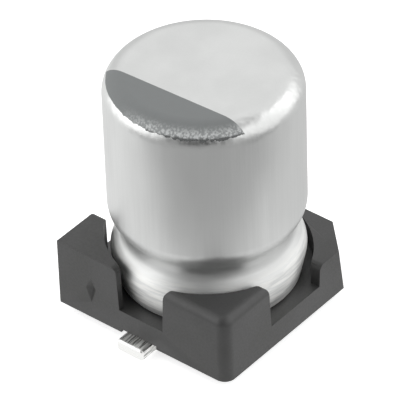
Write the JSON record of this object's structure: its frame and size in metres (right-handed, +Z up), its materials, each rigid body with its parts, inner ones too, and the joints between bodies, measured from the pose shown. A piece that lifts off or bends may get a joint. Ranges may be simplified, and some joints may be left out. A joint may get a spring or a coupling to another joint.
{
  "type": "smd electrolytic capacitor",
  "caption": "Surface-mount electrolytic capacitor: beaded aluminium can with a marked negative side, on a square moulded seat with flat solder terminals.",
  "frame": {"origin": "centre of the footprint, on the board that the terminals stand on", "axes": "+Z up along the can's axis, -X towards the marked negative terminal, X along both terminals"},
  "size_m": [0.005, 0.0044, 0.0057],
  "materials": {
    "can_aluminium": "satin, fine drawing marks",
    "mark_ink": "matt printed ink",
    "seat_plastic": "moulded, matt",
    "terminal_tin": "matt tin on steel",
    "bung_rubber": "matt",
    "tab_aluminium": "satin",
    "etched_foil": "etched, matt grey",
    "plain_foil": "fine etched",
    "separator_paper": "soaked paper",
    "tape_film": "thin film"
  },
  "bodies": {
    "root": {"can": "can_aluminium", "polarity_mark": "mark_ink", "seat": "seat_plastic", "positive_terminal": "terminal_tin", "negative_terminal": "terminal_tin", "rubber_bung": "bung_rubber", "anode_tab": "tab_aluminium", "cathode_tab": "tab_aluminium", "anode_foil": "etched_foil", "cathode_foil": "plain_foil", "separator_inner": "separator_paper", "separator_outer": "separator_paper", "winding_tape": "tape_film"}
  },
  "joints": []
}
